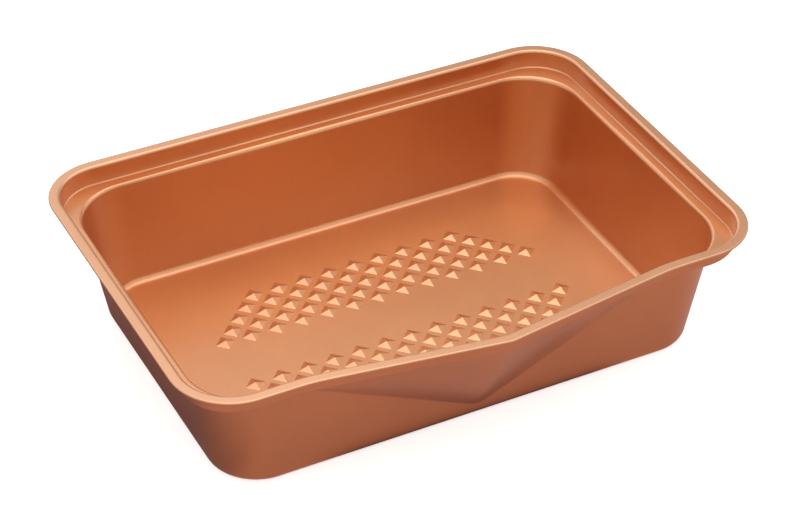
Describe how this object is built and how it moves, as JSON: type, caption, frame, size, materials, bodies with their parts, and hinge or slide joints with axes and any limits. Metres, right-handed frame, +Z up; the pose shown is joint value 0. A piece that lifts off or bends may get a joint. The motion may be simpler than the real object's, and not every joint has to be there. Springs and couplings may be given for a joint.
{
  "type": "roasting tin",
  "caption": "Deep rectangular roasting tin in coated pressed steel, with a stacking ledge under its flat rim, a broad V-shaped pouring lip and a raised pyramid pattern on the floor.",
  "frame": {"origin": "middle of the flat base, on the surface the tin stands on", "axes": "+X along the length of the rim, +Z up, -Y towards the pouring lip"},
  "size_m": [0.4, 0.2943, 0.0905],
  "materials": {
    "coated_sheet": "satin copper-coloured ceramic non-stick coating on steel sheet"
  },
  "bodies": {
    "root": {"pan_body": "coated_sheet"}
  },
  "joints": []
}
